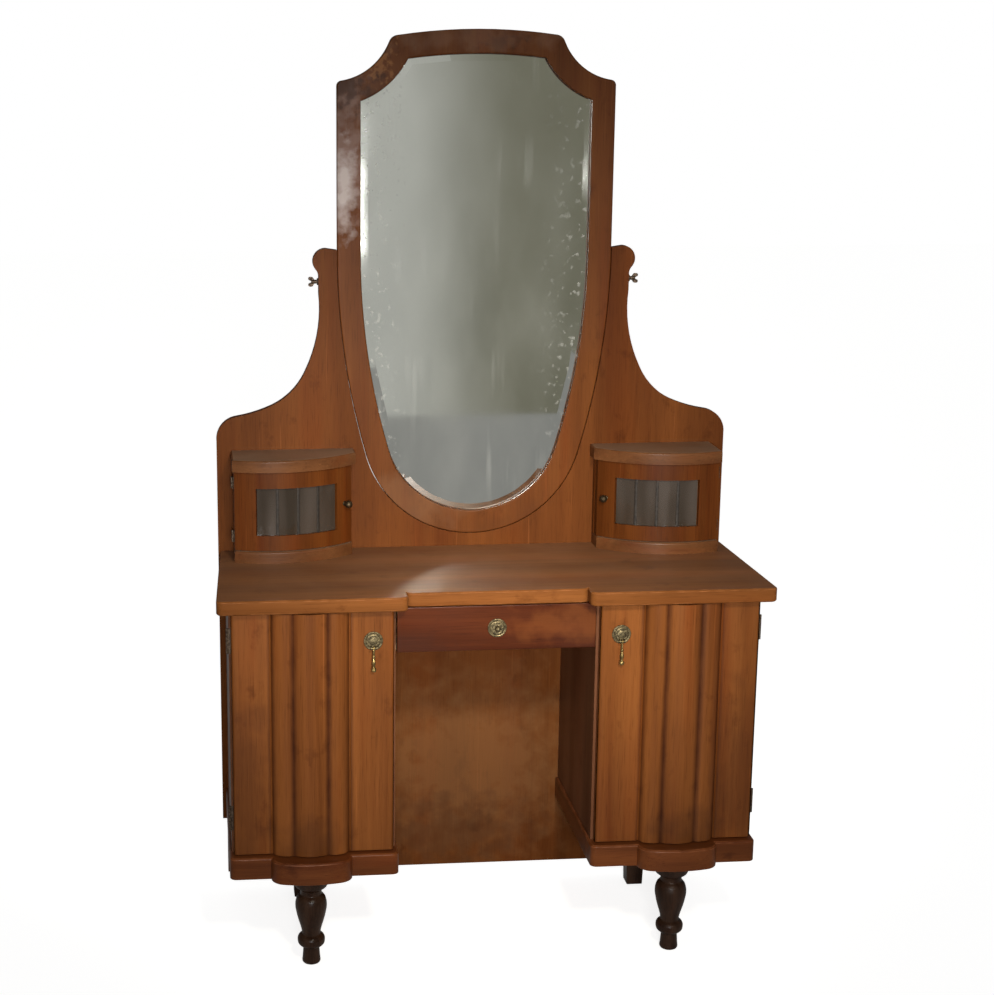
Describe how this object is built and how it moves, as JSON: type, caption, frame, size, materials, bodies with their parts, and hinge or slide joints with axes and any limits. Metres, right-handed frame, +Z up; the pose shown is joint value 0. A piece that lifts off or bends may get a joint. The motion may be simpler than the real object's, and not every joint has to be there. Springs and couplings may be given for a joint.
{
  "type": "dressing table with mirror",
  "caption": "Wooden dressing table on turned feet with reeded cupboard doors, a kneehole drawer, bowed glazed side cabinets and a tilting bevelled mirror.",
  "frame": {"origin": "centre of the bounding box in plan, on the floor", "axes": "+X to the right as one faces the mirror, +Y from the front to the wall, +Z up"},
  "size_m": [1.076, 0.4225, 1.8084],
  "materials": {
    "case_wood": "varnished, worn",
    "top_wood": "varnished, satin",
    "edge_wood": "varnished, worn",
    "door_wood": "varnished, satin",
    "drawer_wood": "varnished, dark",
    "board_wood": "varnished, worn",
    "frame_wood": "varnished, satin",
    "foot_wood": "dark varnish",
    "inside_wood": "bare",
    "aged_brass": "tarnished",
    "hinge_iron": "dark, worn",
    "silvered_glass": "polished, bevelled",
    "window_glass": "clear, dusty",
    "came_metal": "dark, dull"
  },
  "bodies": {
    "carcass": {"base_rear_rails": "inside_wood", "cabinet_hinge_leaves": "hinge_iron", "drawer_runners": "inside_wood", "kneehole_rail": "drawer_wood", "left_back_board": "board_wood", "left_cabinet_base": "edge_wood", "left_cabinet_cap": "edge_wood", "left_cabinet_sides": "case_wood", "left_front_foot": "foot_wood", "left_inner_side": "case_wood", "left_outer_side": "case_wood", "left_pedestal_floor": "inside_wood", "left_plinth": "edge_wood", "left_shelf": "inside_wood", "pedestal_hinge_leaves": "hinge_iron", "plinth_returns": "edge_wood", "rear_feet": "foot_wood", "right_back_board": "board_wood", "right_cabinet_base": "edge_wood", "right_cabinet_cap": "edge_wood", "right_cabinet_sides": "case_wood", "right_front_foot": "foot_wood", "right_inner_side": "case_wood", "right_outer_side": "case_wood", "right_pedestal_floor": "inside_wood", "right_plinth": "edge_wood", "right_shelf": "inside_wood", "shelf_pegs": "inside_wood", "table_top": "top_wood", "top_rails": "inside_wood"},
    "right_door": {"right_door": "door_wood", "right_door_hinge_leaves": "hinge_iron", "right_handle_plate": "aged_brass"},
    "left_door": {"left_door": "door_wood", "left_door_hinge_leaves": "hinge_iron", "left_handle_plate": "aged_brass"},
    "right_drop": {"right_drop_pull": "aged_brass"},
    "left_drop": {"left_drop_pull": "aged_brass"},
    "drawer": {"drawer_front": "drawer_wood", "drawer_sides": "inside_wood", "drawer_back": "inside_wood", "drawer_bottom": "inside_wood", "drawer_knob": "aged_brass"},
    "right_cabinet_door": {"right_cabinet_door": "door_wood", "right_cabinet_panes": "window_glass", "right_cabinet_cames": "came_metal", "right_cabinet_knob": "aged_brass", "right_cabinet_door_leaves": "hinge_iron"},
    "left_cabinet_door": {"left_cabinet_door": "door_wood", "left_cabinet_panes": "window_glass", "left_cabinet_cames": "came_metal", "left_cabinet_knob": "aged_brass", "left_cabinet_door_leaves": "hinge_iron"},
    "mirror": {"mirror_frame": "frame_wood", "mirror_glass": "silvered_glass", "mirror_backing": "inside_wood", "mirror_clips": "hinge_iron"},
    "right_screw": {"right_wing_screw": "hinge_iron"},
    "left_screw": {"left_wing_screw": "hinge_iron"}
  },
  "joints": [
    {"name": "right_door_hinge", "type": "hinge", "parent": "carcass", "child": "right_door", "pos_m": [0.5179, -0.14195, 0.49], "axis": [0, 0, 1], "range_deg": [0, 100]},
    {"name": "left_door_hinge", "type": "hinge", "parent": "carcass", "child": "left_door", "pos_m": [-0.5179, -0.14195, 0.49], "axis": [0, 0, -1], "range_deg": [0, 100]},
    {"name": "drawer_slide", "type": "slide", "parent": "carcass", "child": "drawer", "axis": [0, -1, 0], "range_m": [0, 0.25]},
    {"name": "right_cabinet_hinge", "type": "hinge", "parent": "carcass", "child": "right_cabinet_door", "pos_m": [0.49916, 0.1172, 0.8655], "axis": [0, 0, 1], "range_deg": [0, 95]},
    {"name": "left_cabinet_hinge", "type": "hinge", "parent": "carcass", "child": "left_cabinet_door", "pos_m": [-0.49916, 0.1172, 0.8655], "axis": [0, 0, -1], "range_deg": [0, 95]},
    {"name": "mirror_tilt", "type": "hinge", "parent": "carcass", "child": "mirror", "pos_m": [0, 0.19975, 1.3134], "axis": [1, 0, 0], "range_deg": [-15, 15]},
    {"name": "right_drop_swing", "type": "hinge", "parent": "right_door", "child": "right_drop", "pos_m": [0.24, -0.17075, 0.657], "axis": [-1, 0, 0], "range_deg": [0, 80]},
    {"name": "left_drop_swing", "type": "hinge", "parent": "left_door", "child": "left_drop", "pos_m": [-0.24, -0.17075, 0.657], "axis": [-1, 0, 0], "range_deg": [0, 80]},
    {"name": "right_screw_turn", "type": "hinge", "parent": "carcass", "child": "right_screw", "pos_m": [0.3, 0.19975, 1.3134], "axis": [1, 0, 0], "continuous": true},
    {"name": "left_screw_turn", "type": "hinge", "parent": "carcass", "child": "left_screw", "pos_m": [-0.3, 0.19975, 1.3134], "axis": [1, 0, 0], "continuous": true}
  ]
}
